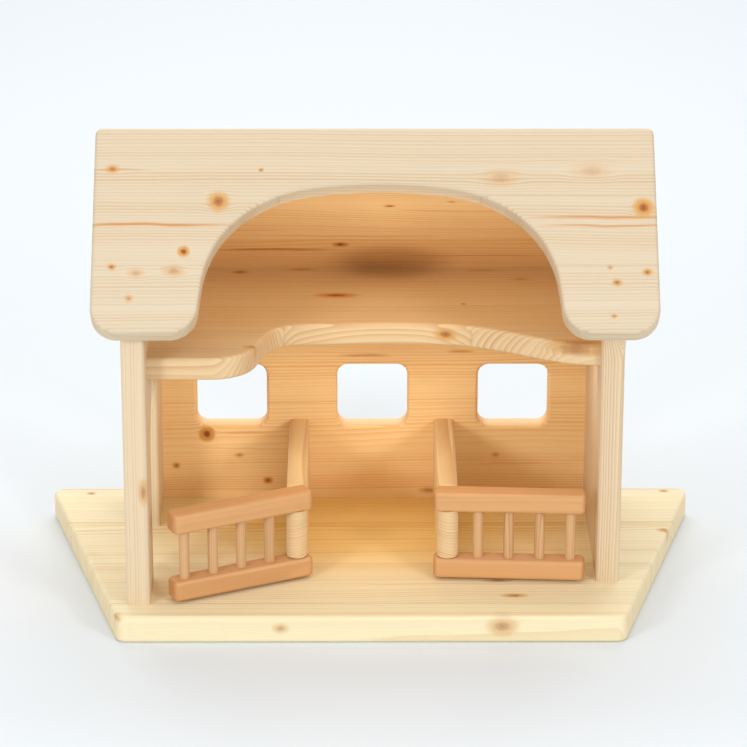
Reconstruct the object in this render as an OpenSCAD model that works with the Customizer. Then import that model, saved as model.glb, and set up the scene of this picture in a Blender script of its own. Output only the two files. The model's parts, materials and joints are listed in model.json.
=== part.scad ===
// Toy barn in light softwood with two swinging gates in a darker hardwood.
// Origin: middle of the house in X, middle of the base in Y, underside of the base in Z.
// Axes: +X to the viewer's right, +Y towards the back, +Z up. Millimetres.

/* [Boards] */
// thickness of the wall, roof and loft boards
board = 18; // [14:0.5:24]
// thickness of the base board
base_thickness = 22; // [16:0.5:30]
// thickness of the two stall dividers
divider_board = 16; // [12:0.5:20]
// radius rounded over on every free edge
edge_round = 3; // [1:0.25:4]

/* [Base] */
// width of the base along its back edge, before its corners are rounded
base_back_width = 527.3; // [440:0.1:600]
// width of the base along its front edge, before its corners are rounded
base_front_width = 389; // [385:1:520]
// depth of the base, front to back
base_depth = 253.5; // [245:0.5:340]
// how far the base sits to one side of the house
base_shift = -2.6; // [-8:0.1:8]
// radius of the base's corners seen from above
base_corner = 9; // [5:0.5:20]

/* [Walls] */
// width over the two side walls
house_width = 381; // [374:1:385]
// depth of the left side wall
left_wall_depth = 229; // [200:1:240]
// depth of the right side wall at its foot
right_wall_depth = 187; // [180:1:200]
// radius of the sweep at the top of the right wall's front edge
right_wall_sweep = 38; // [25:0.5:45]
// length of the blunt tip left between that sweep and the roof
right_wall_tip = 12.6; // [6:0.1:30]
// how far the walls stop short of the base's back edge
rear_margin = 3.2; // [0:0.1:15]

/* [Doorway] */
// clear width of the doorway in the left wall
door_width = 100; // [60:1:110]
// height of the doorway to the crown of its arch
door_height = 147; // [110:1:160]
// depth of the post left in front of the doorway
door_post = 52; // [40:1:80]

/* [Windows] */
// width of each window
window_width = 57; // [30:0.5:80]
// height of each window
window_height = 53; // [30:0.5:70]
// corner radius of the windows
window_corner = 9; // [4:0.5:20]
// height of the sills above the base
window_sill = 64; // [40:0.5:100]
// distance from window to window, middle to middle
window_pitch = 114.4; // [90:0.1:118]
// how far the row of windows sits to one side of the house
window_shift = -1.1; // [-5:0.1:5]

/* [Loft] */
// height of the loft's top face above the base
loft_height = 195; // [150:0.5:205]
// how far the loft's forward left part stands behind the left wall's front edge
loft_set_back = 20; // [5:0.5:40]
// distance from the middle of the house to where the loft edge first turns
loft_first_turn = 124.2; // [110:0.1:140]
// radius of the outward turn of the loft edge
loft_outer_radius = 35; // [15:0.5:50]
// length of the steep part of the loft edge
loft_steep_run = 27; // [15:0.1:40]
// radius of the inward turn of the loft edge
loft_inner_radius = 30; // [15:0.5:60]
// radius of the nearly straight middle of the loft edge
loft_middle_radius = 700; // [500:10:1200]
// radius where the loft edge swings forward again
loft_swing_radius = 150; // [100:1:200]
// length of the slanting run of the loft edge
loft_slant_run = 28; // [10:0.5:40]
// radius of the last turn of the loft edge, towards the right wall
loft_last_radius = 95; // [50:0.5:120]

/* [Roof] */
// distance from the base's back edge to the ridge
ridge_setback = 136.5; // [120:0.1:145]
// width of the two roof boards
roof_width = 423; // [400:1:470]
// length of the front roof board down its slope
roof_front_length = 170.5; // [165:0.5:200]
// length of the rear roof board down its slope
roof_rear_length = 222; // [205:0.5:250]
// radius of the roof boards' lower corners
eave_corner = 20; // [5:0.5:40]
// radius of the roof boards' corners at the ridge
ridge_corner = 6; // [4:0.5:12]

/* [Roof arch] */
// how far the middle of the arch sits to the right
arch_shift = 3.8; // [-10:0.1:10]
// radius of the flat crown of the arch
arch_crown_radius = 350; // [250:1:400]
// radius of the arch's shoulders
arch_shoulder_radius = 99; // [80:0.5:104]
// radius of the arch's flanks
arch_flank_radius = 86; // [70:0.5:92]
// length of the straight part down each leg
arch_leg_run = 21; // [10:0.5:40]
// radius of the legs' inner corners
arch_foot_radius = 22; // [8:0.5:30]

/* [Dividers] */
// height of the dividers above the base
divider_height = 70; // [60:0.5:100]
// distance of the left pivot from the middle of the house
left_pivot_offset = 60.6; // [55:0.1:66]
// distance of the right pivot from the middle of the house
right_pivot_offset = 57; // [55:0.1:64]
// distance from the base's back edge to the pivots
pivot_setback = 178.7; // [150:0.1:190]
// distance from a pivot back to the notch behind it
notch_depth = 15.4; // [15:0.1:20]

/* [Gates] */
// front to back size of the gate rails
rail_depth = 18; // [12:0.5:20]
// height of each gate rail
rail_height = 16; // [12:0.5:20]
// corner radius of the rails seen from above
rail_corner = 5; // [4:0.25:8]
// gap between the left gate's free end and the side wall
latch_gap = 5.3; // [3:0.1:12]
// length of the rails behind the pivot
gate_heel = 11; // [9:0.1:12]
// open height between the two rails of a gate
gate_opening = 39.8; // [30:0.1:60]
// gap between a gate and the base
floor_gap = 2.2; // [1:0.1:5]
// diameter of the balusters and of the pivot pins
dowel = 8; // [6:0.5:10]
// distance from the pivot to the first baluster
first_baluster = 23.5; // [20:0.1:30]
// distance from the last baluster to the rails' free end
last_baluster = 11.4; // [9:0.1:20]
// depth of the baluster sockets
socket_depth = 8; // [5:0.5:11]
// depth of the pivot pin's sockets
pin_socket = 11; // [8:0.5:13]
// how far the left gate stands open
left_gate_open = 26; // [0:0.5:110]
// how far the right gate stands open
right_gate_open = 3.4; // [0:0.1:110]

/* [Clearances] */
// room around a glued dowel, on the radius
glue_room = 0.02; // [0:0.01:0.1]
// room around a turning pin, on the radius
turn_room = 0.08; // [0.02:0.01:0.1]
// height the gate's top rail runs above the nose that carries it
run_room = 0.1; // [0.05:0.05:0.3]
// gap between the lower end of the nose and the bottom rail
nose_gap = 0.8; // [0.3:0.1:2]
// room between the loft's rear top edge and the roof
seat_room = 0.04; // [0:0.01:0.2]

/* [Hidden] */
$fn = 96;
over = 1;
slope = 45;
// smallest corner that the edge rounding can follow
soft_corner = edge_round + 1;
floor_z = base_thickness;
base_back = base_depth / 2;
rear_y = base_back - rear_margin;
back_face = rear_y - board;
left_front = rear_y - left_wall_depth;
right_front = rear_y - right_wall_depth;
tip_front = right_front - right_wall_sweep - soft_corner;
inner_half = house_width / 2 - board;
loft_top = floor_z + loft_height;
loft_under = loft_top - board;
ridge_y = base_back - ridge_setback;
// the rear roof board rests on the loft's rear top edge, which sets the ridge
ridge_under = loft_top + seat_room + (ridge_setback - rear_margin) * tan(slope);
ridge_height = ridge_under + board / cos(slope);
rail_low = floor_z + floor_gap;
rail_low_top = rail_low + rail_height;
rail_high = rail_low_top + gate_opening;
nose_low = rail_low_top + nose_gap;
nose_high = rail_high - run_room;
pivot_y = base_back - pivot_setback;
notch_y = pivot_y + notch_depth;
gate_reach = inner_half - left_pivot_offset - latch_gap;
baluster_count = 4;
baluster_pitch = (gate_reach - first_baluster - last_baluster) / (baluster_count - 1);
// headings of the arch edge where its radii change
arch_flank_turn = 83.45;
arch_shoulder_turn = 40;
arch_crown_turn = 9;
// headings of the loft edge where its radii change
loft_steep_turn = 74.3;
loft_flat_turn = 5.5;
loft_fall_turn = -2;
loft_slant_turn = -30;
loft_last_turn = -8;
// steps along a moulded board's curves, in degrees and in mm, and round its edges
rim_turn = 6;
rim_run = 6;
edge_turn = 22.5;

// Outlines made of straight runs and arcs, walked one after the other.
// A move is [0, length] for a straight run or [1, radius, angle] for an arc, left turns positive.
// A walked piece is [kind, start, end], and for an arc also centre, radius and its two bearings.

function after(m, p, h) = m[0] == 0
    ? [p + m[1] * [cos(h), sin(h)], h]
    : let (s = sign(m[2]), c = p + m[1] * s * [-sin(h), cos(h)])
      [c + m[1] * s * [sin(h + m[2]), -cos(h + m[2])], h + m[2]];

function walk(moves, p, h, i = 0) = i >= len(moves) ? [] :
    let (m = moves[i], e = after(m, p, h), s = m[0] == 0 ? 1 : sign(m[2]), b = h - 90 * s)
    concat(
        [m[0] == 0 ? [0, p, e[0]] : [1, p, e[0], p + m[1] * s * [-sin(h), cos(h)], m[1], b, b + m[2]]],
        walk(moves, e[0], e[1], i + 1));

function last(segs) = segs[len(segs) - 1];

// part of a disc between an arc and its chord
module bow(s) {
    n = (s[1] + s[2]) / 2 - s[3];
    k = (s[4] + over) * n / norm(n);
    intersection() {
        translate(s[3]) circle(r = s[4]);
        polygon([s[1], s[2], s[2] + k, s[1] + k]);
    }
}

// flat outline with the material on the left of the walk, closed by the corners in more
module outline(segs, more = []) {
    difference() {
        union() {
            polygon(concat([for (s = segs) s[1]], more));
            for (s = segs) if (s[0] == 1 && s[6] > s[5]) bow(s);
        }
        for (s = segs) if (s[0] == 1 && s[6] < s[5]) bow(s);
    }
}

// what a rounding takes off a square edge at the origin, with the material to the lower left
module cove(r) {
    difference() {
        translate([-r, -r]) square(r + over);
        translate([-r, -r]) circle(r = r);
    }
}

module coves(t, low, high) {
    if (high) translate([0, t]) cove(edge_round);
    if (low) mirror([0, 1]) cove(edge_round);
}

module turned_over(yes) {
    if (yes) mirror([1, 0]) children();
    else children();
}

// cutters that round the edges along a walk on a board of thickness t,
// with hole = true when the material lies on the right of the walk
module rounding(segs, t, low = true, high = true, hole = false) {
    for (s = segs) {
        from = hole ? s[1] : s[2];
        run = hole ? s[2] - s[1] : s[1] - s[2];
        inside = s[0] == 1 && (s[6] > s[5]) != hole;
        if (s[0] == 0)
            translate(from) rotate([0, 0, atan2(run[1], run[0])]) rotate([90, 0, 90])
                linear_extrude(height = norm(run)) coves(t, low, high);
        else
            translate(s[3]) rotate([0, 0, min(s[5], s[6])])
                rotate_extrude(angle = abs(s[6] - s[5]))
                    translate([s[4], 0]) turned_over(!inside) coves(t, low, high);
    }
}

// points along a walk, each with the direction that leads into the material
function rim(segs) = [for (s = segs) each s[0] == 0
    ? let (d = (s[2] - s[1]) / norm(s[2] - s[1])) [[s[1], [-d[1], d[0]]]]
    : let (turn = s[6] - s[5], n = ceil(max(abs(turn) / rim_turn, abs(turn) * PI / 180 * s[4] / rim_run)))
      [for (j = [0 : n - 1]) let (b = s[5] + turn * j / n, out = [cos(b), sin(b)])
          [s[3] + s[4] * out, turn > 0 ? -out : out]]];

// inset and height of each ring of points round a moulded board of thickness t
function edge_rings(t) =
    let (low = [for (a = [0 : edge_turn : 90]) edge_round * [1 - sin(a), 1 - cos(a)]])
    concat(low, [for (i = [len(low) - 1 : -1 : 0]) [low[i][0], t - low[i][1]]]);

function ring_points(points, rings) = [for (q = rings) for (m = points)
    [m[0][0] + q[0] * m[1][0], m[0][1] + q[0] * m[1][1], q[1]]];

// board of thickness t whose upper and lower edges are rounded all round its rim
module soft_board(points, t) {
    n = len(points);
    rings = edge_rings(t);
    polyhedron(
        points = ring_points(points, rings),
        faces = concat(
            [[for (i = [0 : n - 1]) i]],
            [[for (i = [n - 1 : -1 : 0]) (len(rings) - 1) * n + i]],
            [for (k = [0 : len(rings) - 2]) for (i = [0 : n - 1])
                [k * n + i, (k + 1) * n + i, (k + 1) * n + (i + 1) % n, k * n + (i + 1) % n]]));
}

function rounded_rect(x0, y0, x1, y1, c) = walk([
    [0, x1 - x0 - 2 * c], [1, c, 90], [0, y1 - y0 - 2 * c], [1, c, 90],
    [0, x1 - x0 - 2 * c], [1, c, 90], [0, y1 - y0 - 2 * c], [1, c, 90]], [x0 + c, y0], 0);

// Base: a trapezium whose sides lean in towards the front

base_lean = atan((base_back_width - base_front_width) / 2 / base_depth);

function base_walk() =
    let (front_cut = base_corner * tan(45 - base_lean / 2),
        back_cut = base_corner * tan(45 + base_lean / 2),
        side = base_depth / cos(base_lean) - front_cut - back_cut)
    walk([
        [0, base_front_width - 2 * front_cut],
        [1, base_corner, 90 - base_lean],
        [0, side],
        [1, base_corner, 90 + base_lean],
        [0, base_back_width - 2 * back_cut],
        [1, base_corner, 90 + base_lean],
        [0, side],
        [1, base_corner, 90 - base_lean]],
        [base_shift - base_front_width / 2 + front_cut, -base_depth / 2], 0);

module base_plate() {
    color("#F0DCA6") soft_board(rim(base_walk()), base_thickness);
}

// Walls

function window_walk(x) = rounded_rect(x - window_width / 2, floor_z + window_sill,
    x + window_width / 2, floor_z + window_sill + window_height, window_corner);

module back_wall() {
    color("#E2BE86") translate([0, rear_y, 0]) rotate([90, 0, 0]) difference() {
        translate([-inner_half, floor_z, 0]) cube([2 * inner_half, loft_under - floor_z, board]);
        for (i = [-1, 0, 1]) {
            opening = window_walk(window_shift + i * window_pitch);
            translate([0, 0, -over]) linear_extrude(height = board + 2 * over) outline(opening);
            rounding(opening, board, hole = true);
        }
    }
}

// height of the roof's underside over a place in Y
function under_roof(y) = ridge_under - abs(y - ridge_y) * tan(slope);

// the upright rear edge of a side wall, drawn past its ends
function rear_edge() = walk([[0, under_roof(rear_y) - floor_z + 2 * over]], [rear_y, floor_z - over], 90);

// the side walls are drawn in Y and Z; these are their corners behind the front edge
wall_corners = [[rear_y, floor_z], [rear_y, under_roof(rear_y)], [ridge_y, ridge_under]];

// doorway in the left wall, walked from its rear foot over the arch to its front foot
function door_walk() =
    let (r = door_width / 2, rise = door_height - r)
    walk([[0, rise + over], [1, r, 90], [1, r, 90], [0, rise + over]],
        [left_front + door_post + door_width, floor_z - over], 90);

module left_wall() {
    front = walk([[0, under_roof(left_front) - floor_z + 2 * over]],
        [left_front, under_roof(left_front) + over], -90);
    color("#E8D2A8") translate([-house_width / 2, 0, 0]) rotate([90, 0, 90]) difference() {
        linear_extrude(height = board) polygon(concat(
            [[left_front, under_roof(left_front)], [left_front, floor_z]], wall_corners));
        rounding(front, board);
        rounding(rear_edge(), board, high = false);
        translate([0, 0, -over]) linear_extrude(height = board + 2 * over)
            outline(door_walk(), [last(door_walk())[2]]);
        rounding(door_walk(), board, hole = true);
    }
}

// front edge of the right wall: blunt tip, sweep, then straight down; extra lengthens both ends
function right_walk(extra) =
    let (tip = right_wall_tip - soft_corner,
        foot = under_roof(tip_front) - right_wall_tip - right_wall_sweep - floor_z)
    walk([
        [0, tip + extra],
        [1, soft_corner, 90],
        [1, right_wall_sweep, -90],
        [0, foot + extra]],
        [tip_front, under_roof(tip_front) + extra], -90);

module right_wall() {
    color("#E8D2A8") translate([inner_half, 0, 0]) rotate([90, 0, 90]) difference() {
        linear_extrude(height = board)
            outline(right_walk(0), concat([last(right_walk(0))[2]], wall_corners));
        rounding(right_walk(over), board);
        rounding(rear_edge(), board, low = false);
    }
}

// Loft: a board with a curved front edge that runs from side wall to side wall

function loft_curve() = walk([
    [0, inner_half - loft_first_turn],
    [1, loft_outer_radius, loft_steep_turn],
    [0, loft_steep_run],
    [1, loft_inner_radius, loft_flat_turn - loft_steep_turn],
    [1, loft_middle_radius, loft_fall_turn - loft_flat_turn],
    [1, loft_swing_radius, loft_slant_turn - loft_fall_turn],
    [0, loft_slant_run],
    [1, loft_last_radius, loft_last_turn - loft_slant_turn]],
    [-inner_half, left_front + loft_set_back], 0);

// the board is drawn as one strip for each step of its front curve, so that no face is hollow
module loft_floor() {
    bend = last(loft_curve())[2];
    end = [inner_half, bend[1] + (inner_half - bend[0]) * tan(loft_last_turn)];
    front = concat(rim(loft_curve()), [
        [bend, [-sin(loft_last_turn), cos(loft_last_turn)]],
        [end, [0, 1 / cos(loft_last_turn)]]]);
    rings = edge_rings(board);
    n = len(front);
    top = len(rings) - 1;
    back_low = len(rings) * n;
    back_high = back_low + n;
    color("#E6C592") translate([0, 0, loft_under]) polyhedron(
        points = concat(
            ring_points(front, rings),
            [for (m = front) [m[0][0], rear_y, 0]],
            [for (m = front) [m[0][0], rear_y, board]]),
        faces = concat(
            [for (k = [0 : top - 1]) for (i = [0 : n - 2])
                [k * n + i, (k + 1) * n + i, (k + 1) * n + i + 1, k * n + i + 1]],
            [for (i = [0 : n - 2]) [top * n + i, back_high + i, back_high + i + 1, top * n + i + 1]],
            [for (i = [0 : n - 2]) [back_low + i, i, i + 1, back_low + i + 1]],
            [for (i = [0 : n - 2]) [back_high + i, back_low + i, back_low + i + 1, back_high + i + 1]],
            [concat([for (k = [top : -1 : 0]) k * n], [back_low, back_high])],
            [concat([for (k = [0 : top]) k * n + n - 1], [back_high + n - 1, back_low + n - 1])]));
}

// Roof boards: drawn flat with the ridge at y = 0 and the eave at y = -run, outer face up

function arch_moves() = [
    [1, arch_foot_radius, arch_flank_turn],
    [0, arch_leg_run],
    [1, arch_flank_radius, arch_shoulder_turn - arch_flank_turn],
    [1, arch_shoulder_radius, arch_crown_turn - arch_shoulder_turn],
    [1, arch_crown_radius, -2 * arch_crown_turn],
    [1, arch_shoulder_radius, arch_crown_turn - arch_shoulder_turn],
    [1, arch_flank_radius, arch_shoulder_turn - arch_flank_turn],
    [0, arch_leg_run],
    [1, arch_foot_radius, arch_flank_turn]];

// from the middle of the arch to where it meets the eave
arch_half = arch_foot_radius * sin(arch_flank_turn) + arch_leg_run * cos(arch_flank_turn)
    + arch_flank_radius * (sin(arch_flank_turn) - sin(arch_shoulder_turn))
    + arch_shoulder_radius * (sin(arch_shoulder_turn) - sin(arch_crown_turn))
    + arch_crown_radius * sin(arch_crown_turn);

function roof_walk(run) =
    let (w = roof_width / 2, side = run - ridge_corner - eave_corner)
    walk([
        [0, side],
        [1, eave_corner, 90],
        [0, 2 * (w - eave_corner)],
        [1, eave_corner, 90],
        [0, side],
        [1, ridge_corner, 90],
        [0, 2 * (w - ridge_corner)],
        [1, ridge_corner, 90]],
        [-w, -ridge_corner], -90);

module roof_board(run) {
    segs = roof_walk(run);
    at_ridge = len(segs) - 2;
    span = roof_width + 2 * over;
    translate([0, 0, -board]) difference() {
        linear_extrude(height = board) outline(segs);
        rounding([for (i = [0 : len(segs) - 1]) if (i != at_ridge) segs[i]], board);
        // mitre against the other roof board, then the ridge rounded over
        translate([-span / 2, 0, board]) rotate([slope, 0, 0])
            translate([0, -2 * board, -2 * board]) cube([span, 4 * board, 2 * board]);
        translate([-span / 2, 0, board]) rotate([90, 0, 90])
            linear_extrude(height = span) cove(edge_round);
    }
}

// the opening in the front board, walked from the left leg over the crown to the right leg
module arch_opening() {
    segs = walk(arch_moves(), [arch_shift - arch_half, -roof_front_length], 0);
    edge = concat([for (m = rim(segs)) m[0]], [last(segs)[2]]);
    translate([0, 0, -board - over]) linear_extrude(height = board + 2 * over)
        polygon(concat(edge, [last(edge) - [0, over], edge[0] - [0, over]]));
}

module roof_front() {
    color("#EBD6B2") translate([0, ridge_y, ridge_height]) rotate([slope, 0, 0]) difference() {
        roof_board(roof_front_length);
        arch_opening();
    }
}

module roof_rear() {
    color("#EBD6B2") translate([0, ridge_y, ridge_height]) rotate([slope, 0, 180])
        roof_board(roof_rear_length);
}

// Stall dividers, each with a half-round nose that carries a gate

function divider_walk(extra) = walk([
    [0, back_face - notch_y - soft_corner + extra],
    [1, soft_corner, 90],
    [0, divider_height - soft_corner + extra]],
    [back_face + extra, floor_z + divider_height], 180);

module divider(x) {
    translate([x, 0, 0]) difference() {
        union() {
            translate([-divider_board / 2, 0, 0]) rotate([90, 0, 90]) difference() {
                linear_extrude(height = divider_board) outline(divider_walk(0),
                    [[notch_y, floor_z], [back_face, floor_z]]);
                rounding(divider_walk(over), divider_board);
            }
            translate([-divider_board / 2, pivot_y, nose_low])
                cube([divider_board, notch_depth + soft_corner, nose_high - nose_low]);
            translate([0, pivot_y, nose_low])
                cylinder(d = divider_board, h = nose_high - nose_low);
        }
        translate([0, pivot_y, nose_low - over])
            cylinder(r = dowel / 2 + turn_room, h = nose_high - nose_low + 2 * over);
    }
}

module left_divider() {
    color("#EAD09A") divider(-left_pivot_offset);
}

module right_divider() {
    color("#EAD09A") divider(right_pivot_offset);
}

// Gates, drawn shut with the pivot at the origin and the free end along +X

// a hole that opens on the rail's upper face, or on its lower face when up is false
module socket(x, deep, up) {
    translate([x, 0, up ? rail_height - deep : -over])
        cylinder(r = dowel / 2 + glue_room, h = deep + over);
}

module rail(z, up) {
    plan = rounded_rect(-gate_heel, -rail_depth / 2, gate_reach, rail_depth / 2, rail_corner);
    color("#CC9A63") translate([0, 0, z]) difference() {
        linear_extrude(height = rail_height) outline(plan);
        rounding(plan, rail_height);
        for (i = [0 : baluster_count - 1])
            socket(first_baluster + i * baluster_pitch, socket_depth, up);
        socket(0, pin_socket, up);
    }
}

module rod(x, deep) {
    color("#D9B07A") translate([x, 0, rail_low_top - deep])
        cylinder(d = dowel, h = gate_opening + 2 * deep);
}

module baluster(i) {
    rod(first_baluster + (i - 1) * baluster_pitch, socket_depth);
}

module on_left() {
    translate([-left_pivot_offset, pivot_y, 0]) rotate([0, 0, 180 + left_gate_open]) children();
}

module on_right() {
    translate([right_pivot_offset, pivot_y, 0]) rotate([0, 0, -right_gate_open]) children();
}

module left_gate_top_rail() on_left() rail(rail_high, false);
module left_gate_bottom_rail() on_left() rail(rail_low, true);
module left_gate_pivot_pin() on_left() rod(0, pin_socket);
module left_gate_baluster_1() on_left() baluster(1);
module left_gate_baluster_2() on_left() baluster(2);
module left_gate_baluster_3() on_left() baluster(3);
module left_gate_baluster_4() on_left() baluster(4);
module right_gate_top_rail() on_right() rail(rail_high, false);
module right_gate_bottom_rail() on_right() rail(rail_low, true);
module right_gate_pivot_pin() on_right() rod(0, pin_socket);
module right_gate_baluster_1() on_right() baluster(1);
module right_gate_baluster_2() on_right() baluster(2);
module right_gate_baluster_3() on_right() baluster(3);
module right_gate_baluster_4() on_right() baluster(4);

base_plate();
back_wall();
left_wall();
right_wall();
roof_front();
roof_rear();
loft_floor();
left_divider();
right_divider();
left_gate_top_rail();
left_gate_bottom_rail();
left_gate_pivot_pin();
left_gate_baluster_1();
left_gate_baluster_2();
left_gate_baluster_3();
left_gate_baluster_4();
right_gate_top_rail();
right_gate_bottom_rail();
right_gate_pivot_pin();
right_gate_baluster_1();
right_gate_baluster_2();
right_gate_baluster_3();
right_gate_baluster_4();
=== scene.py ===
"""Toy barn in light softwood with two darker gates, on a white studio floor."""
import json
import math

import bmesh
import bpy
from mathutils import Euler, Matrix, Vector


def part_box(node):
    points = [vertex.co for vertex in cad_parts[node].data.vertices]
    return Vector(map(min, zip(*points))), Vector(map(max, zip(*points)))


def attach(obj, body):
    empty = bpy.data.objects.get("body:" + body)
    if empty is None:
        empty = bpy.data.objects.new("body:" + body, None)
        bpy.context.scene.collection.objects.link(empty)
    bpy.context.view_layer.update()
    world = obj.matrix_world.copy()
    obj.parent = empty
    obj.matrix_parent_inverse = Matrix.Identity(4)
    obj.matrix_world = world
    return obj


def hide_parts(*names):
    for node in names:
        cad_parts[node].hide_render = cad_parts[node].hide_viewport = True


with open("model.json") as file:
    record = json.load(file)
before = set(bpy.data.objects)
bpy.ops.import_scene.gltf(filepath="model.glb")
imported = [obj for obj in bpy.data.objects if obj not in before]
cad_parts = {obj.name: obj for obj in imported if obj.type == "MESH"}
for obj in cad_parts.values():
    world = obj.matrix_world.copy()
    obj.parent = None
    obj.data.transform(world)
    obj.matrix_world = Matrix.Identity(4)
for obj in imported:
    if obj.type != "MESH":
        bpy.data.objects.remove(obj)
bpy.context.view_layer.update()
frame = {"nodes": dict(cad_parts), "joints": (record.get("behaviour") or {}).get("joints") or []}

MM = 0.001

# Places in the row frame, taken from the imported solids
BASE_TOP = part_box("base_plate")[1].z
ROOF_LOW, ROOF_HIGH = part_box("roof_front")
LOFT_LOW, LOFT_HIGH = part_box("loft_floor")
BACK_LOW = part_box("back_wall")[0]
BOARD = LOFT_HIGH.z - LOFT_LOW.z
SLOPE = math.radians(45)

# Rounded edges: their radius, how many steps draw them, and the turn above which a line stays sharp
ROUND = 3 * MM
ROUND_STEPS = 6
SHARP_TURN = math.radians(50)

# Arcs of an outline are drawn in steps of at most this turn, in degrees, and this length
TURN_STEP = 3.0
RUN_STEP = 3 * MM

# the ridge line lies above the rounded top edge by what the rounding takes off a 90 degree edge
RIDGE = Vector((0, ROOF_HIGH.y, ROOF_HIGH.z + ROUND * (math.sqrt(2) - 1)))

# Where the gates turn, and which way each one points from its pivot at rest
PIVOT = {joint["child"].split("_")[0]: Vector(joint["pos_m"]) for joint in frame["joints"]}
GATE_OPEN = {"left": math.radians(180 + 26), "right": math.radians(-3.4)}


# Outlines of straight runs and arcs

def ahead(heading):
    return Vector((math.cos(heading), math.sin(heading)))


def left_of(heading):
    return Vector((-math.sin(heading), math.cos(heading)))


def walk(moves, place, heading):
    """Points and inward directions along moves: ("run", length) or ("arc", radius, degrees)."""
    points = []
    for move in moves:
        if move[0] == "run":
            points.append((place.copy(), left_of(heading)))
            place = place + move[1] * ahead(heading)
            continue
        radius = move[1]
        angle = math.radians(move[2])
        side = 1 if angle > 0 else -1
        centre = place + radius * side * left_of(heading)
        steps = math.ceil(max(abs(move[2]) / TURN_STEP, abs(angle) * radius / RUN_STEP))
        for i in range(steps):
            inward = left_of(heading + angle * i / steps)
            points.append((centre - radius * side * inward, inward))
        heading += angle
        place = centre - radius * side * left_of(heading)
    return points, place, heading


def moulded_board(name, rim, thickness, mitred=False):
    """A board with its top at z = 0 and its edges rounded; a mitred one is cut at 45 degrees under y = 0."""
    turns = [math.pi / 2 * i / ROUND_STEPS for i in range(ROUND_STEPS + 1)]
    low = [(ROUND * (1 - math.sin(a)), ROUND * (1 - math.cos(a))) for a in turns]
    rings = low + [(inset, thickness - z) for inset, z in reversed(low)]
    mesh = bmesh.new()
    loops = []
    for inset, z in rings:
        loop = []
        for point, inward in rim:
            p = point + inset * inward
            y = min(p.y, z - thickness) if mitred else p.y
            loop.append(mesh.verts.new((p.x, y, z - thickness)))
        loops.append(loop)
    mesh.faces.new(list(reversed(loops[0])))
    mesh.faces.new(loops[-1])
    for lower, upper in zip(loops, loops[1:]):
        for i in range(len(lower)):
            j = (i + 1) % len(lower)
            mesh.faces.new((lower[i], lower[j], upper[j], upper[i]))
    for face in mesh.faces:
        face.smooth = True
    data = bpy.data.meshes.new(name)
    mesh.to_mesh(data)
    mesh.free()
    data.set_sharp_from_angle(angle=SHARP_TURN)
    piece = bpy.data.objects.new(name, data)
    bpy.context.scene.collection.objects.link(piece)
    return piece


def roof_front_piece():
    """The front roof board with its arch, drawn flat with the ridge at y = 0 and then tilted."""
    half = (ROOF_HIGH.x - ROOF_LOW.x) / 2
    run = 170.5 * MM
    corner = 20 * MM
    ridge_corner = 6 * MM
    # the arch, from its foot up to its crown, and how far its middle sits to the right
    foot = 22 * MM
    leg_run = 21 * MM
    flank = 86 * MM
    shoulder = 99 * MM
    crown = 350 * MM
    flank_turn = 83.45
    shoulder_turn = 40.0
    crown_turn = 9.0
    shift = 3.8 * MM
    rise = [("arc", foot, flank_turn), ("run", leg_run), ("arc", flank, shoulder_turn - flank_turn),
            ("arc", shoulder, crown_turn - shoulder_turn)]
    arch = rise + [("arc", crown, -2 * crown_turn)] + rise[::-1]
    arch_half = walk(rise, Vector((0, 0)), 0)[1].x + crown * math.sin(math.radians(crown_turn))
    leg = half - corner - arch_half
    side = run - corner - ridge_corner
    moves = [("run", side), ("arc", corner, 90), ("run", leg + shift)] + arch
    moves += [("run", leg - shift), ("arc", corner, 90), ("run", side), ("arc", ridge_corner, 90),
              ("run", 2 * (half - ridge_corner)), ("arc", ridge_corner, 90)]
    rim = walk(moves, Vector((-half, -ridge_corner)), -math.pi / 2)[0]
    piece = moulded_board("roof_front_board", rim, BOARD, mitred=True)
    piece.data.transform(Matrix.Translation(RIDGE) @ Matrix.Rotation(SLOPE, 4, "X"))
    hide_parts("roof_front")
    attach(piece, "barn")
    return piece


def loft_piece():
    """The loft board between the side walls; its curved front edge is rounded, the other edges are sharp."""
    half = LOFT_HIGH.x
    step_in = 124.2 * MM
    front_edge = [
        ("run", half - step_in),
        ("arc", 35 * MM, 74.3), ("run", 27 * MM), ("arc", 30 * MM, -68.8),
        ("arc", 700 * MM, -7.5), ("arc", 150 * MM, -28),
        ("run", 28 * MM), ("arc", 95 * MM, 22)]
    rim, bend, heading = walk(front_edge, Vector((-half, LOFT_LOW.y)), 0)
    end = Vector((half, bend.y + (half - bend.x) * math.tan(heading)))
    sharp = Vector((0, 0))
    rim += [
        (bend, left_of(heading)),
        (end, Vector((0, 1 / math.cos(heading)))),
        (Vector((half, LOFT_HIGH.y)), sharp),
        (Vector((-half, LOFT_HIGH.y)), sharp)]
    piece = moulded_board("loft_board", rim, BOARD)
    piece.data.transform(Matrix.Translation((0, 0, LOFT_HIGH.z)))
    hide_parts("loft_floor")
    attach(piece, "barn")
    return piece


# Small helpers for node trees

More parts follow.
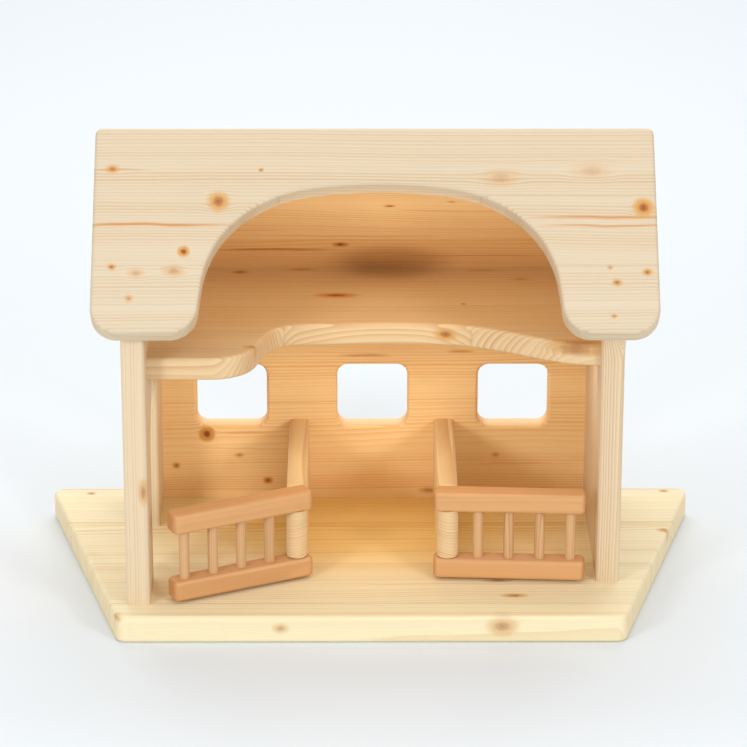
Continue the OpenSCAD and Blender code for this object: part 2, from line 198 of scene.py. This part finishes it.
class Tree:
    """Adds nodes to a node tree and links them in one call."""

    def __init__(self, tree):
        self.tree = tree

    def put(self, socket, value):
        if isinstance(value, bpy.types.NodeSocket):
            self.tree.links.new(value, socket)
        elif value is not None:
            socket.default_value = value

    def node(self, kind, inputs=(), **settings):
        node = self.tree.nodes.new(kind)
        for key, value in settings.items():
            setattr(node, key, value)
        items = inputs.items() if isinstance(inputs, dict) else enumerate(inputs)
        for key, value in items:
            self.put(node.inputs[key], value)
        return node

    def math(self, operation, *values, clamp=False):
        return self.node("ShaderNodeMath", values, operation=operation, use_clamp=clamp).outputs[0]

    def times(self, first, second):
        return self.math("MULTIPLY", first, second)

    def plus(self, first, second):
        return self.math("ADD", first, second)

    def minus(self, first, second):
        return self.math("SUBTRACT", first, second)

    def length(self, first, second):
        squares = self.plus(self.times(first, first), self.times(second, second))
        return self.math("SQRT", squares)

    def vector(self, operation, *values):
        node = self.node("ShaderNodeVectorMath", values, operation=operation)
        return node.outputs["Value" if operation in ("DOT_PRODUCT", "LENGTH") else "Vector"]

    def joined(self, x, y, z):
        return self.node("ShaderNodeCombineXYZ", [x, y, z]).outputs[0]

    def split(self, vector):
        return self.node("ShaderNodeSeparateXYZ", [vector]).outputs

    def smooth(self, value, low, high):
        node = self.node("ShaderNodeMapRange", {"Value": value, "From Min": low, "From Max": high},
                         interpolation_type="SMOOTHSTEP")
        return node.outputs["Result"]

    def noise(self, vector, scale, detail=2.0):
        inputs = {"Vector": vector, "Scale": scale, "Detail": detail}
        return self.node("ShaderNodeTexNoise", inputs).outputs["Fac"]

    def mix(self, amount, first, second, blend="MIX"):
        node = self.node("ShaderNodeMix", data_type="RGBA", blend_type=blend)
        self.put(node.inputs[0], amount)
        self.put(node.inputs[6], first)
        self.put(node.inputs[7], second)
        return node.outputs[2]

    def grouped(self, group, inputs):
        node = self.node("ShaderNodeGroup")
        node.node_tree = group
        for key, value in inputs.items():
            self.put(node.inputs[key], value)
        return node.outputs


FLOAT = "NodeSocketFloat"
VECTOR = "NodeSocketVector"


def new_group(name, inputs, outputs):
    """A node group with named sockets; returns it, its Tree, the sockets it is given and those it fills."""
    group = bpy.data.node_groups.new(name, "ShaderNodeTree")
    for label, kind in inputs:
        group.interface.new_socket(label, in_out="INPUT", socket_type=kind)
    for label, kind in outputs:
        group.interface.new_socket(label, in_out="OUTPUT", socket_type=kind)
    tree = Tree(group)
    given = tree.node("NodeGroupInput").outputs
    filled = tree.node("NodeGroupOutput").inputs
    return group, tree, given, filled


# Marks on a face reach this deep into the board, and are whole to half of it
MARK_DEPTH = 12 * MM
MARK_WHOLE = 6 * MM


def build_grain_group():
    """Growth rings of glued strips: x runs along the grain, y across the strips, z through the board."""
    chance_row = 0.37
    heart_sway = 0.08
    heart_depth = 0.02
    heart_depth_spread = 0.04
    strip_jump = 40.0
    wave_along = 3.2
    wave_across = 13.0
    lean_spread = 0.05
    uneven_scale = 160.0
    unevenness = 1.5
    rise_power = 1.5
    late_end = 0.93
    ring_scale = 3.1
    ring_share = 0.45
    band_scale = 75.0
    band_row = 3.0
    band_share = 0.65
    fibre_along = 60.0
    fibre_across = 2600.0
    seam_edge = 0.6 * MM
    seam_heart = 0.1 * MM

    group, t, given, out = new_group(
        "board_grain",
        [("Place", VECTOR), ("Push", FLOAT), ("Strip", FLOAT), ("Ring", FLOAT), ("Wander", FLOAT),
         ("Side", FLOAT), ("Seed", FLOAT)],
        [("Late", FLOAT), ("Fibre", FLOAT), ("Strip Tone", FLOAT), ("Seam", FLOAT)])
    x, y, z = t.split(given["Place"])
    counted = t.plus(t.math("DIVIDE", y, given["Strip"]), given["Seed"])
    strip = t.math("FLOOR", counted)
    within = t.minus(counted, strip)
    chance = t.node("ShaderNodeTexWhiteNoise", {"Vector": t.joined(strip, given["Seed"], chance_row)},
                    noise_dimensions="3D")
    first, second, third = t.split(chance.outputs["Color"])

    # heart of the tree for this strip: to one side of the board and below it
    way = t.math("SIGN", t.minus(first, 0.5))
    heart_y = t.plus(t.times(t.minus(first, 0.5), heart_sway), t.times(way, given["Side"]))
    heart_z = t.plus(heart_depth, t.times(second, heart_depth_spread))
    local_y = t.times(t.minus(within, 0.5), given["Strip"])

    # rings wander along the board and lean a little
    long_way = t.joined(t.plus(t.times(x, wave_along), t.times(third, strip_jump)),
                        t.times(y, wave_across), t.times(z, wave_across))
    drift = t.times(t.minus(t.noise(long_way, 1.0, 2.5), 0.5), given["Wander"])
    lean = t.times(x, t.times(t.minus(third, 0.5), lean_spread))
    dy = t.plus(t.minus(local_y, heart_y), t.plus(given["Push"], lean))
    dz = t.plus(z, heart_z)
    flow = t.plus(t.length(dy, dz), drift)

    # each ring darkens slowly and ends at once; some rings and bands of rings are stronger
    uneven = t.noise(t.joined(flow, third, 0.0), uneven_scale, 1.0)
    counted_rings = t.plus(t.math("DIVIDE", flow, given["Ring"]), t.times(uneven, unevenness))
    phase = t.math("FRACT", counted_rings)
    late = t.times(t.math("POWER", phase, rise_power), t.smooth(phase, 1.0, late_end))
    strength = t.noise(t.joined(t.math("FLOOR", counted_rings), third, 0.0), ring_scale, 1.0)
    bands = t.smooth(t.noise(t.joined(flow, third, band_row), band_scale, 2.0), 0.3, 0.7)
    force = t.math("MULTIPLY_ADD", bands, band_share,
                   t.times(t.smooth(strength, 0.25, 0.75), ring_share))
    t.put(out["Late"], t.times(late, force))

    fine = t.joined(t.times(x, fibre_along), t.times(y, fibre_across), t.times(z, fibre_across))
    t.put(out["Fibre"], t.noise(fine, 1.0, 3.0))
    t.put(out["Strip Tone"], third)
    edge = t.times(t.math("MINIMUM", within, t.minus(1.0, within)), given["Strip"])
    t.put(out["Seam"], t.smooth(edge, seam_edge, seam_heart))
    return group


def build_knot_group():
    """One knot: dark core, tone around it, and how far it pushes the grain aside.

    Distances are counted in knot sizes. The marks of the knots before it come in and go out again.
    """
    core_edge, core_whole = 1.1, 0.35
    tone_edge, tone_whole = 2.4, 0.9
    push_edge = 3.6
    push_force = -0.8
    ring_count = 11.0
    ring_swing = 0.14
    ring_middle = 0.86

    group, t, given, out = new_group(
        "knot",
        [("Place", VECTOR), ("Centre", VECTOR), ("Size", FLOAT), ("Stretch", FLOAT), ("Core", FLOAT),
         ("Wobble", FLOAT), ("Core In", FLOAT), ("Tone In", FLOAT), ("Push In", FLOAT)],
        [("Core", FLOAT), ("Tone", FLOAT), ("Push", FLOAT)])
    x, y, z = t.split(t.vector("SUBTRACT", given["Place"], given["Centre"]))
    near_x = t.math("DIVIDE", x, t.times(given["Size"], given["Stretch"]))
    near_y = t.math("DIVIDE", y, given["Size"])
    distance = t.plus(given["Wobble"], t.length(near_x, near_y))
    depth = t.smooth(t.math("ABSOLUTE", z), MARK_DEPTH, MARK_WHOLE)
    rings = t.math("MULTIPLY_ADD", t.math("SINE", t.times(distance, ring_count)), ring_swing, ring_middle)
    core = t.times(t.times(t.smooth(distance, core_edge, core_whole), rings),
                   t.times(depth, given["Core"]))
    tone = t.times(t.smooth(distance, tone_edge, tone_whole), t.times(depth, given["Core"]))
    reach = t.times(t.smooth(distance, push_edge, 0.0), given["Size"])
    side = t.math("MAXIMUM", t.math("MINIMUM", near_y, 1.0), -1.0)
    push = t.times(t.times(reach, depth), t.times(side, push_force))
    t.put(out["Core"], t.math("MAXIMUM", core, given["Core In"]))
    t.put(out["Tone"], t.math("MAXIMUM", tone, given["Tone In"]))
    t.put(out["Push"], t.plus(push, given["Push In"]))
    return group


def build_streak_group():
    """One long resin or latewood streak along the grain, thinning towards its ends."""
    whole_reach = 0.2
    whole_width = 0.15

    group, t, given, out = new_group(
        "streak",
        [("Place", VECTOR), ("Centre", VECTOR), ("Reach", FLOAT), ("Width", FLOAT), ("Strength", FLOAT),
         ("Bend", FLOAT), ("Streak In", FLOAT)],
        [("Streak", FLOAT)])
    x, y, z = t.split(t.vector("SUBTRACT", given["Place"], given["Centre"]))
    along = t.smooth(t.math("ABSOLUTE", x), given["Reach"], t.times(given["Reach"], whole_reach))
    across = t.smooth(t.math("ABSOLUTE", t.plus(y, given["Bend"])), given["Width"],
                      t.times(given["Width"], whole_width))
    depth = t.smooth(t.math("ABSOLUTE", z), MARK_DEPTH, MARK_WHOLE)
    mask = t.times(t.times(along, across), t.times(depth, given["Strength"]))
    t.put(out["Streak"], t.math("MAXIMUM", mask, given["Streak In"]))
    return group


GRAIN = build_grain_group()
KNOT = build_knot_group()
STREAK = build_streak_group()

# Colours of the woods, as reflectances
ROOF_PALE = (0.68, 0.58, 0.435)
ROOF_LATE = (0.50, 0.30, 0.12)
SIDE_PALE = (0.76, 0.63, 0.45)
SIDE_LATE = (0.50, 0.28, 0.11)
# the boards inside the rooms take a brighter, more orange copy of the wood, which paints in the warm light
# bouncing inside them
INNER_PALE = (0.93, 0.72, 0.43)
INNER_LATE = (0.70, 0.33, 0.08)
LOFT_PALE = (0.77, 0.575, 0.34)
LOFT_LATE = (0.52, 0.26, 0.09)
BASE_PALE = (0.88, 0.79, 0.54)
BASE_LATE = (0.66, 0.42, 0.15)
DIVIDER_PALE = (0.82, 0.63, 0.37)
DIVIDER_LATE = (0.55, 0.29, 0.10)
RAIL_PALE = (0.69, 0.375, 0.165)
RAIL_LATE = (0.46, 0.20, 0.07)
DOWEL_PALE = (0.69, 0.43, 0.22)
DOWEL_LATE = (0.42, 0.20, 0.08)
STREAK_BROWN = (0.56, 0.235, 0.05, 1)
KNOT_RIM = (0.62, 0.31, 0.08, 1)
KNOT_HEART = (0.26, 0.065, 0.012, 1)

# Colours that multiply the wood under them
# painted shade, laid on the faces towards the rooms
INNER_SHADE_TINT = (1.0, 0.92, 0.78, 1)
SHADED_TINT = (1.0, 0.80, 0.42, 1)
# painted shade: a soft dark patch in the crease where the rear roof meets the loft
CREASE_SHADE_TINT = (0.50, 0.26, 0.08, 1)

# Shares of a wood's own colours: its deeper strips, its glue seams and its cut ends
DEEPER_SHARE = (0.95, 0.90, 0.82)
SEAM_SHARE = (0.55, 0.55, 0.55)
END_SHARE = (1, 0.9, 0.8)

# How strongly marks and fibres show
STREAK_FORCE = 0.9
RIM_FORCE = 1.5
HEART_FORCE = 1.3
FIBRE_TONE = 0.16

# Turns of the grain: along x, upright, on a face seen from the front, and from front to back
QUARTER = math.pi / 2
FLAT = (0.0, 0.0, 0.0)
UPRIGHT_GRAIN = (0.0, -QUARTER, 0.0)
BACK_TURN = (QUARTER, 0.0, 0.0)
TO_BACK = (0.0, 0.0, QUARTER)

# Where the grain of the walls and dividers is placed, and the front faces that show knots
LEFT_WALL_X = -190 * MM
RIGHT_WALL_X = 172 * MM
DIVIDER_GRAIN_Z = 34 * MM
BASE_FRONT = -126.75 * MM
POST_FRONT = -105.45 * MM
LOFT_FRONT = -11 * MM


def shared(colour, shares):
    return [c * share for c, share in zip(colour, shares)] + [1]


def add_knot(t, place, centre, size, stretch, dark, wobble, marks):
    """Adds a knot to marks, the (core, tone, push) of the knots before it."""
    core, tone, push = marks
    made = t.grouped(KNOT, {
        "Place": place, "Centre": (centre[0] * MM, centre[1] * MM, 0), "Size": size * MM,
        "Stretch": stretch, "Core": dark, "Wobble": wobble,
        "Core In": core, "Tone In": tone, "Push In": push})
    return made["Core"], made["Tone"], made["Push"]


def wood(name, origin, turn, pale, late, strip=0.045, seed=0.0, ring=0.0021, wander=0.010, side=0.05,
         contrast=0.8, knots=(), streaks=(), patches=(), end_tone=0.15, rough=0.5, seam_tone=0.16,
         inner_shade_depths=None, front=0.0, front_knots=()):
    """A board's wood. origin and turn place the board's own axes: x along the grain, z through the board.

    knots are (x, y, size, stretch, darkness) and streaks are (x, y, reach, width, strength), in mm,
    on the face at z = 0. patches are soft areas (x, y, reach along, reach across, strength, tint).
    front_knots are (x, z, size, stretch, darkness) on the face at y = front.
    The inner shade depths, when given, are those between which the wood gets painted shade: the deeper,
    warmer tone of a room's inside.
    """
    material = bpy.data.materials.new(name)
    material.use_nodes = True
    material.node_tree.nodes.clear()
    t = Tree(material.node_tree)
    coordinates = t.node("ShaderNodeTexCoord")
    placing = {"Vector": coordinates.outputs["Object"], "Location": origin, "Rotation": turn}
    place = t.node("ShaderNodeMapping", placing, vector_type="TEXTURE").outputs[0]

    # knots and streaks, with uneven outlines
    wobble = t.times(t.minus(t.noise(place, 380.0, 2.0), 0.5), 0.6)
    bend = t.times(t.minus(t.noise(place, 14.0, 2.0), 0.5), 0.006)
    marks = (None, None, None)
    for x, y, size, stretch, dark in knots:
        marks = add_knot(t, place, (x, y), size, stretch, dark, wobble, marks)
    core, tone, push = marks
    if front_knots:
        x, y, z = t.split(place)
        seen = t.joined(x, z, t.minus(y, front))
    for x, z, size, stretch, dark in front_knots:
        core, tone, _ = add_knot(t, seen, (x, z), size, stretch, dark, wobble, (core, tone, push))
    streak = None
    for x, y, reach, width, strength in streaks:
        streak = t.grouped(STREAK, {
            "Place": place, "Centre": (x * MM, y * MM, 0), "Reach": reach * MM, "Width": width * MM,
            "Strength": strength, "Bend": bend, "Streak In": streak})["Streak"]
    grain = t.grouped(GRAIN, {
        "Place": place, "Push": push, "Strip": strip, "Ring": ring, "Wander": wander, "Side": side,
        "Seed": seed})

    # tone of the strips, large soft clouds, latewood, fine fibres and glue seams
    cloud = t.noise(t.vector("MULTIPLY", place, (5.0, 22.0, 22.0)), 1.0, 2.0)
    shade = t.plus(t.times(grain["Strip Tone"], 0.5), t.times(cloud, 0.5))
    colour = t.mix(shade, pale + (1,), shared(pale, DEEPER_SHARE))
    colour = t.mix(t.math("MULTIPLY", grain["Late"], contrast, clamp=True), colour, late + (1,))
    fibre = t.times(t.minus(grain["Fibre"], 0.5), FIBRE_TONE)
    toned = {"Color": colour, "Value": t.minus(1.0, fibre)}
    colour = t.node("ShaderNodeHueSaturation", toned).outputs[0]
    colour = t.mix(t.times(grain["Seam"], seam_tone), colour, shared(late, SEAM_SHARE))

    # streaks, knots and soft patches over the wood
    if streak is not None:
        colour = t.mix(t.math("MULTIPLY", streak, STREAK_FORCE, clamp=True), colour, STREAK_BROWN)
    if tone is not None:
        colour = t.mix(t.math("MULTIPLY", tone, RIM_FORCE, clamp=True), colour, KNOT_RIM)
        colour = t.mix(t.math("MULTIPLY", core, HEART_FORCE, clamp=True), colour, KNOT_HEART)
    for x, y, along, across, strength, tint in patches:
        away = t.vector("MULTIPLY", t.vector("SUBTRACT", place, (x * MM, y * MM, 0)),
                        (1 / (along * MM), 1 / (across * MM), 0))
        spot = t.times(t.smooth(t.vector("LENGTH", away), 1.0, 0.35), strength)
        colour = t.mix(spot, colour, tint, "MULTIPLY")

    # faces cut across the grain drink more oil
    along_grain = Euler(turn).to_matrix() @ Vector((1, 0, 0))
    facing = t.vector("DOT_PRODUCT", coordinates.outputs["Normal"], tuple(along_grain))
    across_cut = t.smooth(t.math("ABSOLUTE", facing), 0.35, 0.95)
    colour = t.mix(t.times(across_cut, end_tone), colour, shared(late, END_SHARE))
    # painted shade: between the given depths the face towards the rooms turns deeper and warmer
    if inner_shade_depths:
        depth = t.split(place)[2]
        colour = t.mix(t.smooth(depth, *inner_shade_depths), colour, INNER_SHADE_TINT, "MULTIPLY")

    relief = t.plus(t.times(grain["Late"], 0.5), t.times(grain["Fibre"], 0.5))
    normal = t.node("ShaderNodeBump", {"Height": relief, "Strength": 0.12, "Distance": 0.0004}).outputs[0]
    gloss = t.plus(rough - 0.06, t.times(grain["Fibre"], 0.16))
    shader = t.node("ShaderNodeBsdfPrincipled", {
        "Base Color": colour, "Roughness": gloss, "Normal": normal, "Specular IOR Level": 0.35})
    t.node("ShaderNodeOutputMaterial", [shader.outputs[0]])
    return material


def dress(pieces, material):
    for piece in pieces:
        piece.data.materials.clear()
        piece.data.materials.append(material)


def dress_roof_front(board):
    knots = [
        (-117.4, -63.0, 4.6, 1.0, 0.62), (-142.8, -104.6, 2.5, 1.0, 1.0), (-197.6, -35.6, 2.2, 1.4, 0.5),
        (-196.1, -117.4, 1.5, 1.3, 0.6), (-178.1, -122.5, 2.6, 1.5, 0.22), (-149.9, -120.7, 3.0, 1.6, 0.3),
        (-182.8, -143.3, 2.0, 1.0, 0.3), (-85.7, -36.5, 1.0, 1.2, 0.6), (201.4, -68.2, 4.4, 1.0, 0.75),
        (94.6, -42.9, 4.2, 1.9, 0.2), (163.2, -37.0, 4.4, 2.0, 0.16), (179.8, -130.4, 1.8, 1.2, 0.55),
        (202.6, -121.9, 1.8, 1.2, 0.6), (174.9, -118.1, 1.2, 1.2, 0.4), (176.7, -158.0, 1.2, 1.2, 0.4)]
    streaks = [
        (-170.0, -82.5, 85.0, 2.0, 1.0), (-195.0, -36.0, 30.0, 1.4, 0.6), (175.0, -76.0, 75.0, 1.9, 0.9),
        (178.0, -83.0, 70.0, 1.6, 0.8), (-60.0, -34.0, 120.0, 0.8, 0.2), (120.0, -29.0, 120.0, 0.9, 0.25)]
    dress([board], wood(
        "roof_front_wood", tuple(RIDGE), (SLOPE, 0, 0), ROOF_PALE, ROOF_LATE, strip=0.058, seed=3.0,
        ring=0.0024, wander=0.006, side=0.07, contrast=0.8, knots=knots, streaks=streaks))


def dress_roof_rear(board):
    """Its knots lie on the underside, which shows through the arch."""
    knots = [
        (11.9, 97.4, 1.3, 2.0, 0.6), (-26.7, 165.6, 2.2, 1.6, 0.9), (60.0, 90.0, 1.2, 2.0, 0.3)]
    streaks = [
        (-80.0, 175.0, 62.0, 3.4, 1.0), (-20.0, 150.0, 110.0, 1.4, 0.45), (80.0, 186.0, 80.0, 1.6, 0.6),
        (20.0, 198.0, 120.0, 1.2, 0.4), (-120.0, 140.0, 70.0, 1.6, 0.4)]
    underside = RIDGE - BOARD * Vector((0, math.sin(SLOPE), math.cos(SLOPE)))
    dress([board], wood(
        "roof_rear_wood", tuple(underside), (-SLOPE, 0, 0), INNER_PALE, INNER_LATE, strip=0.052,
        # the underside towards the rooms gets painted shade, deeper and warmer
        seed=11.0, ring=0.0026, wander=0.012, side=0.03, contrast=0.85, inner_shade_depths=(0.016, 0.004),
        # a soft dark patch of painted shade sits in the crease where this underside meets the loft
        knots=knots, streaks=streaks, patches=[(14.0, 193.0, 60.0, 34.0, 0.36, CREASE_SHADE_TINT)]))


def dress_loft(board):
    knots = [
        (-107.6, 110.8, 2.6, 1.6, 0.6), (-58.3, 117.0, 2.2, 4.0, 0.35), (-29.7, 55.4, 3.2, 3.0, 0.75),
        (70.1, 35.1, 1.3, 1.2, 0.5), (88.5, 115.0, 2.0, 6.0, 0.25), (117.4, 93.3, 2.6, 2.2, 0.25),
        (-94.1, -60.3, 2.2, 2.0, 0.4), (152.0, -54.0, 6.5, 2.6, 0.42)]
    streaks = [(0.0, 112.0, 150.0, 1.4, 0.25), (40.0, 20.0, 120.0, 1.2, 0.25)]
    dress([board], wood(
        "loft_wood", (0, 0, LOFT_HIGH.z), FLAT, LOFT_PALE, LOFT_LATE, strip=0.047, seed=5.35,
        ring=0.0026, wander=0.012, side=0.03, contrast=0.85, knots=knots, streaks=streaks,
        # a soft dark patch of painted shade sits at the back, in the crease where the loft meets the rear
        # roof
        patches=[(14.0, 116.0, 50.0, 30.0, 0.3, CREASE_SHADE_TINT)],
        front=LOFT_FRONT, front_knots=[(55.0, -8.0, 3.0, 1.6, 0.6)]))


def dress_back_wall(board):
    knots = [
        (-136.3, 78.6, 3.6, 1.0, 1.0), (-161.7, 50.7, 1.6, 1.2, 0.6), (-86.8, 37.5, 1.8, 1.3, 0.7),
        (-110.0, 60.0, 1.4, 1.6, 0.35), (45.2, 28.6, 1.6, 3.0, 0.4), (100.0, 60.0, 1.4, 1.4, 0.3)]
    streaks = [
        (-104.0, 79.5, 32.0, 1.8, 0.5), (-7.0, 147.1, 26.0, 1.8, 0.75), (70.4, 150.8, 14.0, 1.8, 0.8),
        (-110.0, 66.0, 60.0, 1.2, 0.35), (120.0, 52.0, 50.0, 1.4, 0.3)]
    dress([board], wood(
        "back_wood", (0, BACK_LOW.y, 0), BACK_TURN, INNER_PALE, INNER_LATE, strip=0.044, seed=7.6,
        # the face towards the rooms gets painted shade, deeper and warmer
        ring=0.0022, wander=0.009, side=0.04, contrast=0.8, inner_shade_depths=(-0.016, -0.004), knots=knots,
        streaks=streaks))


def dress_base(board):
    knots = [
        (108.0, -88.0, 2.2, 2.6, 0.5), (95.9, -59.9, 2.2, 3.0, 0.35), (-232.9, 114.6, 1.6, 1.4, 0.5),
        (240.0, 118.8, 1.8, 1.4, 0.5), (233.8, 38.2, 2.4, 1.4, 0.45)]
    front_knots = [
        (-72.1, -9.7, 2.4, 1.5, 0.3), (97.4, -8.2, 4.4, 1.5, 0.38), (-197.8, -2.0, 1.8, 1.5, 0.3)]
    streaks = [(60.0, -66.0, 160.0, 1.6, 0.3), (-20.0, 20.0, 150.0, 1.6, 0.35)]
    dress([board], wood(
        "base_wood", (0, 0, BASE_TOP), FLAT, BASE_PALE, BASE_LATE, strip=0.075, seed=9.36, ring=0.0028,
        wander=0.010, side=0.03, contrast=0.8, seam_tone=0.5, knots=knots, streaks=streaks,
        patches=[(0.0, 65.0, 215.0, 150.0, 0.85, SHADED_TINT)],
        front=BASE_FRONT, front_knots=front_knots))


def dress_side_walls(left, right):
    upright = {"ring": 0.0018, "wander": 0.004, "side": 0.0, "contrast": 0.9}
    dress([left], wood(
        "left_wall_wood", (LEFT_WALL_X, 0, 0), UPRIGHT_GRAIN, SIDE_PALE, SIDE_LATE, strip=0.046,
        seed=13.2, front=POST_FRONT, front_knots=[(116.0, -14.2, 2.2, 2.8, 0.4)], **upright))
    dress([right], wood(
        "right_wall_wood", (RIGHT_WALL_X, 0, 0), UPRIGHT_GRAIN, SIDE_PALE, SIDE_LATE, strip=0.043,
        seed=17.7, **upright))


def dress_divider(board, side, seed):
    dress([board], wood(
        side + "_divider_wood", (PIVOT[side].x, 0, DIVIDER_GRAIN_Z), TO_BACK, DIVIDER_PALE,
        DIVIDER_LATE, strip=0.09, seed=seed, ring=0.0024, wander=0.004, side=0.008, contrast=1.1))


def dress_gate(nodes, side, rail_seed, rail_knots):
    rail = wood(
        side + "_rail_wood", tuple(PIVOT[side]), (0, 0, GATE_OPEN[side]), RAIL_PALE, RAIL_LATE,
        strip=0.2, seed=rail_seed, ring=0.0042, wander=0.016, side=0.01, contrast=0.6,
        knots=rail_knots, end_tone=0.5, rough=0.48)
    rod = wood(
        side + "_dowel_wood", tuple(PIVOT[side]), UPRIGHT_GRAIN, DOWEL_PALE, DOWEL_LATE, strip=0.013,
        seed=37.1, ring=0.0014, wander=0.003, side=0.02, contrast=0.9, rough=0.48)
    gate = [piece for name, piece in nodes.items() if name.startswith(side + "_gate")]
    dress([piece for piece in gate if "rail" in piece.name], rail)
    dress([piece for piece in gate if "rail" not in piece.name], rod)


# Studio: a wide white floor, even air, and lamps in front, above, behind and inside the rooms

FLOOR_WHITE = (0.755, 0.79, 0.815, 1)
FLOOR_RADIUS = 9
AIR_WHITE = (0.98, 0.99, 1.0, 1)
# strength of the air as light, and as it is seen, where 1 is white
AIR = 0.62
SEEN_AIR = 0.92
PLAIN = (1, 1, 1)
WARM = (1.0, 0.80, 0.50)


def white_floor():
    """A wide round floor with the barn at its middle."""
    mesh = bmesh.new()
    bmesh.ops.create_circle(mesh, cap_ends=True, segments=96, radius=FLOOR_RADIUS)
    data = bpy.data.meshes.new("white_floor")
    mesh.to_mesh(data)
    mesh.free()
    floor = bpy.data.objects.new("white_floor", data)
    bpy.context.scene.collection.objects.link(floor)
    material = bpy.data.materials.new("floor_paper")
    material.use_nodes = True
    shader = material.node_tree.nodes["Principled BSDF"]
    shader.inputs["Base Color"].default_value = FLOOR_WHITE
    shader.inputs["Roughness"].default_value = 0.9
    shader.inputs["Specular IOR Level"].default_value = 0.1
    data.materials.append(material)


def white_air():
    """Even light from all round, seen nearly white by the camera, in reflections and through clear parts."""
    world = bpy.data.worlds.new("studio_air")
    world.use_nodes = True
    t = Tree(world.node_tree)
    background = world.node_tree.nodes["Background"]
    background.inputs["Color"].default_value = AIR_WHITE
    rays = t.node("ShaderNodeLightPath").outputs
    seen = t.math("MAXIMUM", rays["Is Camera Ray"],
                  t.math("MAXIMUM", rays["Is Glossy Ray"], rays["Is Transmission Ray"]))
    t.put(background.inputs["Strength"], t.math("MULTIPLY_ADD", seen, SEEN_AIR - AIR, AIR))
    bpy.context.scene.world = world


def soft_box(name, place, aim, size, power, tint=PLAIN):
    light = bpy.data.lights.new(name, "AREA")
    light.shape = "RECTANGLE"
    light.size, light.size_y = size
    light.energy = power
    light.color = tint
    lamp = bpy.data.objects.new(name, light)
    lamp.visible_camera = False
    lamp.location = place
    lamp.rotation_euler = (Vector(aim) - Vector(place)).to_track_quat("-Z", "Y").to_euler()
    bpy.context.scene.collection.objects.link(lamp)


def studio():
    white_floor()
    white_air()
    soft_box("front_left", place=(-1.35, -1.75, 0.95), aim=(0, 0, 0.16), size=(0.5, 0.5), power=16.5)
    soft_box("front_right", place=(1.35, -1.75, 0.95), aim=(0, 0, 0.16), size=(0.5, 0.5), power=16)
    soft_box("overhead", place=(0, -0.4, 2.0), aim=(0, 0, 0.1), size=(1.6, 1.2), power=5)
    soft_box("behind", place=(0, 0.9, 1.8), aim=(0, 0.2, 0), size=(1.8, 0.8), power=14)
    soft_box("far_behind", place=(0, 2.6, 1.5), aim=(0, 1.5, 0), size=(2.6, 0.8), power=14)
    # small warm lamps under the loft and under the ridge, which the camera doesn't see, lift the rooms
    soft_box("stall_fill", place=(0, -0.005, 0.195), aim=(0, 0.045, 0), size=(0.32, 0.02),
             power=0.09, tint=WARM)
    soft_box("loft_fill", place=(0, -0.055, 0.3), aim=(0, 0.06, 0.262), size=(0.34, 0.02),
             power=0.065, tint=WARM)


def camera():
    """Matches the photograph: a long lens 2.7 m away, looking down at 21 degrees."""
    aim = Vector((-0.8, -23.25, 181.0)) * MM
    distance = 2745.7 * MM
    down = math.radians(21.044)
    yaw = math.radians(0.282)
    roll = math.radians(0.061)
    view = Vector((math.sin(yaw) * math.cos(down), math.cos(yaw) * math.cos(down), -math.sin(down)))
    right = view.cross(Vector((0, 0, 1))).normalized()
    above = right.cross(view)
    x_axis = right * math.cos(roll) + above * math.sin(roll)
    y_axis = above * math.cos(roll) - right * math.sin(roll)
    data = bpy.data.cameras.new("camera")
    data.sensor_width = 36
    data.lens = 171.04
    data.clip_end = 20
    eye = bpy.data.objects.new("camera", data)
    turn = Matrix((x_axis, y_axis, -view)).transposed()
    eye.matrix_world = Matrix.Translation(aim - view * distance) @ turn.to_4x4()
    bpy.context.scene.collection.objects.link(eye)
    bpy.context.scene.camera = eye


nodes = frame["nodes"]
dress_roof_front(roof_front_piece())
dress_loft(loft_piece())
dress_roof_rear(nodes["roof_rear"])
dress_back_wall(nodes["back_wall"])
dress_base(nodes["base_plate"])
dress_side_walls(nodes["left_wall"], nodes["right_wall"])
dress_divider(nodes["left_divider"], "left", seed=19.4)
dress_divider(nodes["right_divider"], "right", seed=23.1)
dress_gate(nodes, "left", rail_seed=29.3, rail_knots=[])
dress_gate(nodes, "right", rail_seed=31.8, rail_knots=[(60.0, 0.0, 2.4, 2.2, 0.45)])
studio()
camera()
bpy.context.scene.view_settings.view_transform = "Standard"
